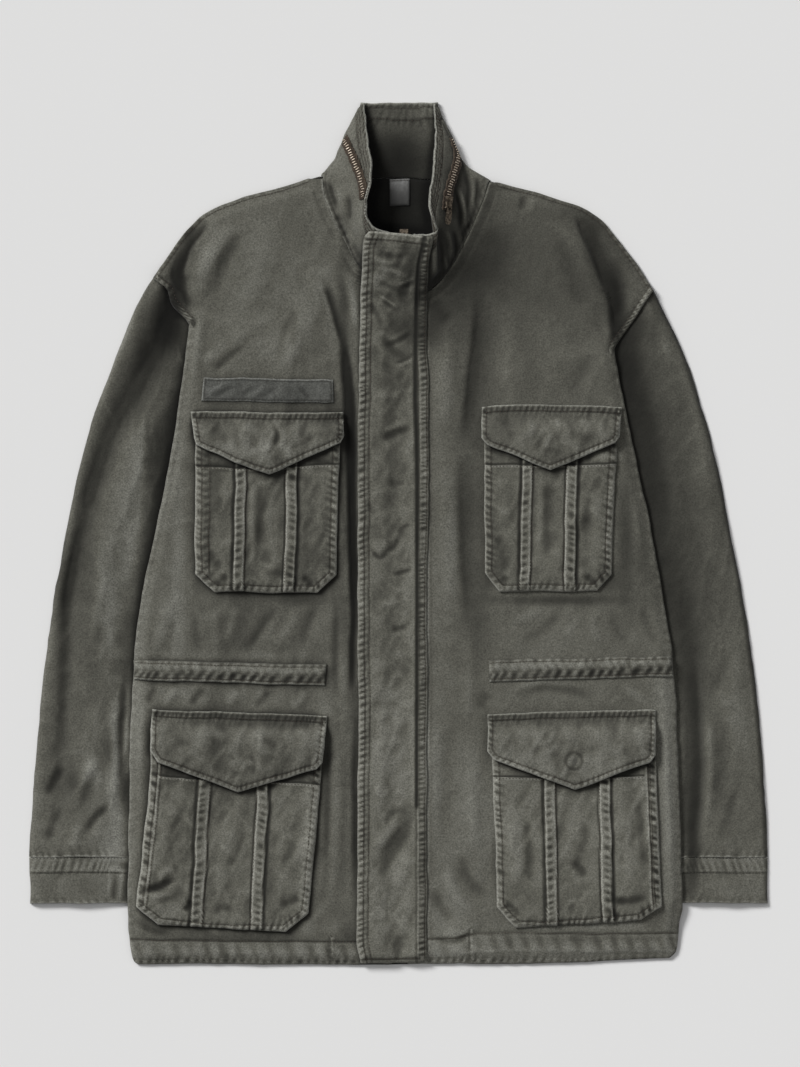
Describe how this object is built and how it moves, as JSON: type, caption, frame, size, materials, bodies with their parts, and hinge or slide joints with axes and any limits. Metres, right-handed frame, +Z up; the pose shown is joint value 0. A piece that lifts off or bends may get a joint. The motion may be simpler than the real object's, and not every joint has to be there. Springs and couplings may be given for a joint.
{
  "type": "jacket",
  "caption": "Hip-length field jacket laid out flat, front up: stand collar, covered front placket, flapped bellows pockets, waist casing and straight sleeves.",
  "frame": {"origin": "middle of the laid-out jacket in plan, on the surface that it lies on", "axes": "+Z up from the surface and out of the jacket's front, +Y from the hem to the collar, +X towards the wearer's left side"},
  "size_m": [0.738, 0.8598, 0.0404],
  "materials": {
    "olive": "washed olive cotton twill",
    "olive_worn": "washed olive cotton twill, paler at its puckered seams",
    "olive_patch": "cooler grey-green twill tape",
    "label_cloth": "smooth woven label, bare",
    "zip_tape": "brown woven zip tape",
    "old_brass": "dull aged brass",
    "dark_snap": "dark olive lacquered snap cap"
  },
  "bodies": {
    "jacket": {"back_panel": "olive", "front_right": "olive", "front_left": "olive", "sleeve_right": "olive", "sleeve_left": "olive", "cuff_right": "olive_worn", "cuff_left": "olive_worn", "collar": "olive", "placket": "olive", "name_patch": "olive_patch", "neck_label": "label_cloth", "chest_pocket_right": "olive", "chest_pocket_left": "olive", "lower_pocket_right": "olive", "lower_pocket_left": "olive", "chest_flap_right": "olive", "chest_flap_left": "olive", "lower_flap_right": "olive", "lower_flap_left": "olive", "waist_casing_right": "olive_worn", "waist_casing_left": "olive_worn", "collar_zip_right": "zip_tape", "collar_zip_left": "zip_tape", "front_zip": "zip_tape", "collar_zip_slider": "old_brass", "front_zip_slider": "old_brass", "snap_cap": "dark_snap"},
    "pull_tab": {"collar_zip_pull": "old_brass"}
  },
  "joints": [
    {"name": "pull_tab_hinge", "type": "hinge", "parent": "jacket", "child": "pull_tab", "pos_m": [0.05078, 0.32723, 0.02976], "axis": [-0.8511, 0.0841, 0.5181], "range_deg": [0, 115]}
  ]
}
